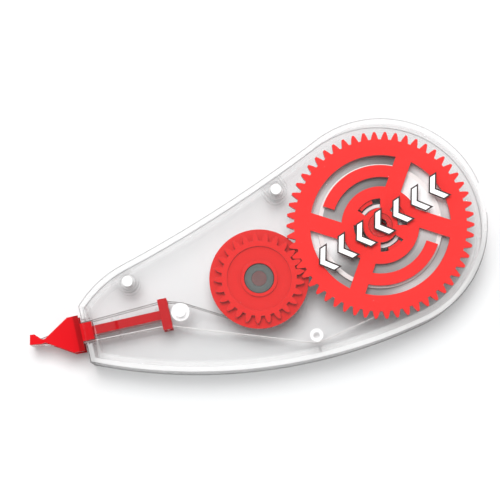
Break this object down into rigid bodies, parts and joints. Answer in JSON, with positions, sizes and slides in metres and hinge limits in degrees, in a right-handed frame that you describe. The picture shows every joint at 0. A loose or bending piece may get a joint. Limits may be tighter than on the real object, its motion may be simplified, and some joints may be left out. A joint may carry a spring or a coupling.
{
  "type": "correction tape roller",
  "caption": "Clear two-part case holding two meshed tape spools, a slipping clutch and a flexing applicator that lays correction tape from its tip.",
  "frame": {"origin": "where the supply spool's axis meets the flat rear face", "axes": "+X from the applicator tip to the round end, +Y across the case towards its hollow edge, +Z out of the front cover along both spool axes"},
  "size_m": [0.085, 0.04, 0.0124],
  "materials": {
    "clear_case": "clear polished polystyrene",
    "red_gear": "satin moulded acetal",
    "red_spool": "satin moulded acetal",
    "red_applicator": "satin moulded acetal",
    "core_grey": "satin",
    "tape_roll": "wound film edges",
    "bush_grey": "satin",
    "tape": "coated film",
    "liner": "thin release film"
  },
  "bodies": {
    "case": {"rear_cover": "clear_case", "front_cover": "clear_case", "take_up_bush": "bush_grey", "fresh_tape_run": "tape", "used_liner_run": "liner"},
    "supply_drive": {"supply_gear": "red_gear"},
    "supply_spool": {"supply_core": "core_grey", "supply_tape_roll": "tape_roll"},
    "take_up": {"take_up_spool": "red_spool", "used_liner_roll": "liner"},
    "applicator_body": {"applicator": "red_applicator", "tip_tape_loop": "tape"}
  },
  "joints": [
    {"name": "supply_gear_spin", "type": "hinge", "parent": "case", "child": "supply_drive", "pos_m": [0, 0, 0.0062], "axis": [0, 0, 1], "continuous": true},
    {"name": "supply_clutch_slip", "type": "hinge", "parent": "supply_drive", "child": "supply_spool", "pos_m": [0, 0, 0.0062], "axis": [0, 0, 1], "continuous": true},
    {"name": "take_up_spin", "type": "hinge", "parent": "case", "child": "take_up", "pos_m": [-0.02326, -0.00454, 0.0062], "axis": [0, 0, 1], "continuous": true},
    {"name": "applicator_flex", "type": "hinge", "parent": "case", "child": "applicator_body", "pos_m": [-0.0411, -0.00695, 0.0058], "axis": [0, 0, 1], "range_deg": [-1, 1], "stiffness_Nm_per_rad": 1.5}
  ],
  "couplings": [
    {"joint": "take_up_spin", "follows": "supply_gear_spin", "ratio": -2.16}
  ]
}
